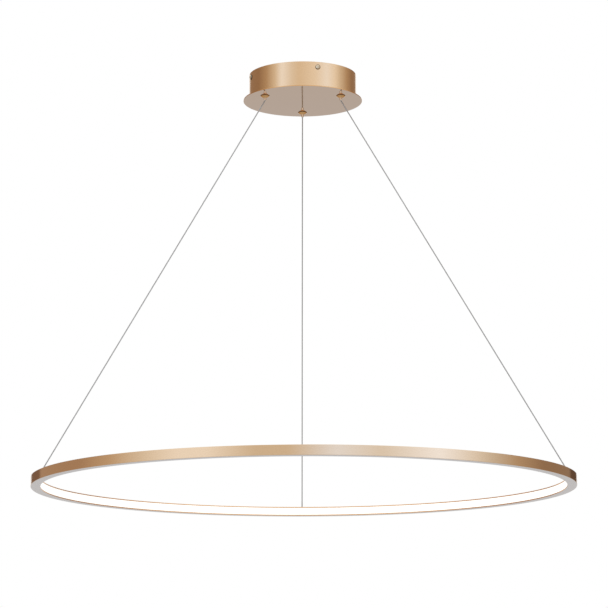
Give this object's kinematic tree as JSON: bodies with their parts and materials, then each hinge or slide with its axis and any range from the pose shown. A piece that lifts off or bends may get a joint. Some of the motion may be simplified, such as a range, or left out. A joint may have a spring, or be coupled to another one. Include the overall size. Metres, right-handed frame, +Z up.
{
  "type": "ring pendant light",
  "caption": "Slim round LED ring with an inward diffuser, hung level on thin wires from a round drum canopy with a wider plate, a driver inside and sprung wire grippers.",
  "frame": {"origin": "centre of the ceiling bracket's upper face, on the ceiling, above the middle of the ring", "axes": "+Z up into the ceiling, +X to the right along the line of the ceiling screws, +Y away from the viewer"},
  "size_m": [0.9999, 0.9999, 0.785],
  "materials": {
    "canopy_gold": "satin champagne gold plating with a polished plate",
    "ring_gold": "satin champagne gold anodising",
    "gripper_gold": "turned brass, gold plated",
    "screw_gold": "gold plated steel",
    "joiner_aluminium": "plain extruded",
    "zinc_steel": "zinc plated",
    "ball_steel": "hardened stainless steel",
    "brass": "plain brass",
    "wire_grey": "stranded steel in a clear grey coat",
    "opal_acrylic": "opal, lets the light through",
    "strip_white": "white solder mask",
    "phosphor_yellow": "phosphor gel",
    "white_nylon": "moulded",
    "white_plastic": "moulded, fine grain",
    "circuit_green": "solder mask",
    "black_rubber": "matt",
    "brown_lead": "insulated lead",
    "blue_lead": "insulated lead",
    "earth_lead_green": "insulated lead, green with a yellow stripe",
    "red_lead": "insulated lead",
    "black_lead": "insulated lead"
  },
  "bodies": {
    "canopy": {"ceiling_bracket": "zinc_steel", "cable_grommet": "black_rubber", "earth_screw": "brass", "canopy_drum": "canopy_gold", "canopy_plate": "canopy_gold", "plate_nuts": "zinc_steel", "side_screws": "screw_gold", "terminal_block": "white_nylon", "terminal_screws": "zinc_steel", "driver_case": "white_plastic", "driver_cover": "white_plastic", "driver_board": "circuit_green", "cover_screws": "zinc_steel", "driver_mount_screws": "zinc_steel", "live_lead": "brown_lead", "neutral_lead": "blue_lead", "earth_lead": "earth_lead_green", "output_connector": "white_nylon", "output_lead_1": "red_lead", "output_lead_2": "black_lead", "gripper_body_1": "gripper_gold", "gripper_body_2": "gripper_gold", "gripper_body_3": "gripper_gold", "gripper_nut_1": "zinc_steel", "gripper_nut_2": "zinc_steel", "gripper_nut_3": "zinc_steel", "gripper_plug_1": "gripper_gold", "gripper_plug_2": "gripper_gold", "gripper_plug_3": "gripper_gold", "release_spring_1": "ball_steel", "release_spring_2": "ball_steel", "release_spring_3": "ball_steel", "suspension_wire_1": "wire_grey", "suspension_wire_2": "wire_grey", "suspension_wire_3": "wire_grey", "wire_tail_1": "wire_grey", "wire_tail_2": "wire_grey", "wire_tail_3": "wire_grey"},
    "ring": {"ring_profile": "ring_gold", "ring_joiner": "joiner_aluminium", "joiner_screws": "screw_gold", "led_strip": "strip_white", "led_chips": "phosphor_yellow", "diffuser": "opal_acrylic", "anchor_bush_1": "white_nylon", "anchor_bush_2": "white_nylon", "anchor_bush_3": "white_nylon", "wire_stop_1": "ball_steel", "wire_stop_2": "ball_steel", "wire_stop_3": "ball_steel", "jumper_lead_1": "red_lead", "jumper_lead_2": "red_lead"},
    "release_1": {"release_nozzle_1": "gripper_gold", "grip_balls_1": "ball_steel"},
    "release_2": {"release_nozzle_2": "gripper_gold", "grip_balls_2": "ball_steel"},
    "release_3": {"release_nozzle_3": "gripper_gold", "grip_balls_3": "ball_steel"}
  },
  "joints": [
    {"name": "ring_lift", "type": "slide", "parent": "canopy", "child": "ring", "axis": [0, 0, 1], "range_m": [0, 0.4], "deforming": ["suspension_wire_1", "suspension_wire_2", "suspension_wire_3"]},
    {"name": "release_1", "type": "slide", "parent": "canopy", "child": "release_1", "axis": [0, 0, 1], "range_m": [0, 0.0015], "stiffness_N_per_m": 1500, "springref_m": -0.001, "deforming": ["release_spring_1"]},
    {"name": "release_2", "type": "slide", "parent": "canopy", "child": "release_2", "axis": [0, 0, 1], "range_m": [0, 0.0015], "stiffness_N_per_m": 1500, "springref_m": -0.001, "deforming": ["release_spring_2"]},
    {"name": "release_3", "type": "slide", "parent": "canopy", "child": "release_3", "axis": [0, 0, 1], "range_m": [0, 0.0015], "stiffness_N_per_m": 1500, "springref_m": -0.001, "deforming": ["release_spring_3"]}
  ]
}
